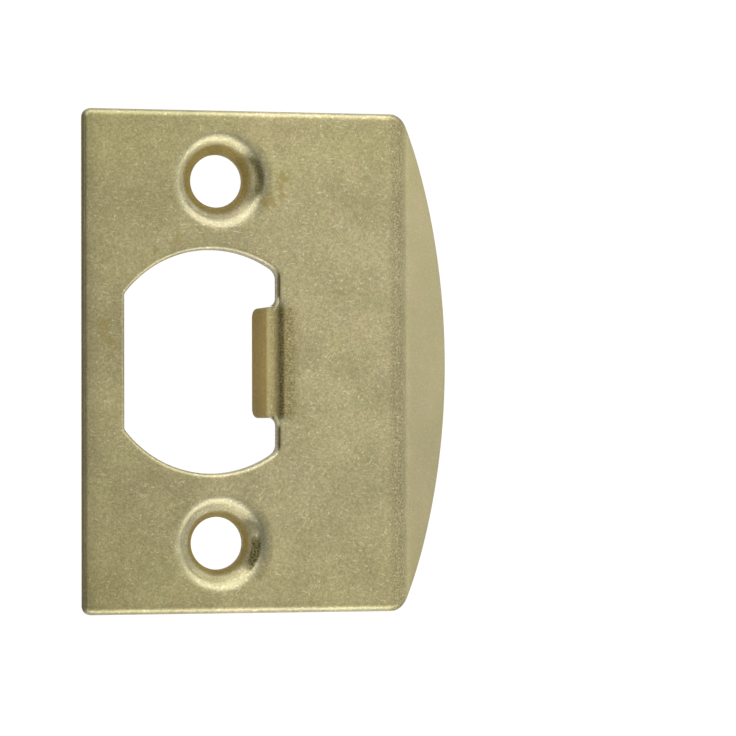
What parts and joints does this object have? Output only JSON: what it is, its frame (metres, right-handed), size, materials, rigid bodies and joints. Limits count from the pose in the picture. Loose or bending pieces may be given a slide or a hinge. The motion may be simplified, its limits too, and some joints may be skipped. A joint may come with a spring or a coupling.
{
  "type": "door strike plate",
  "caption": "Folded sheet-brass strike plate with a curved lip, a latch opening with a tang bent to the back, and pressed countersunk screw holes.",
  "frame": {"origin": "midway between the two screw holes, level with the middle of their throats", "axes": "+Z out of the front face, +Y along the line through the screw holes, +X towards the lip"},
  "size_m": [0.0445, 0.0572, 0.009],
  "materials": {
    "brass": "satin, tumbled"
  },
  "bodies": {
    "root": {"strike_plate": "brass"}
  },
  "joints": []
}
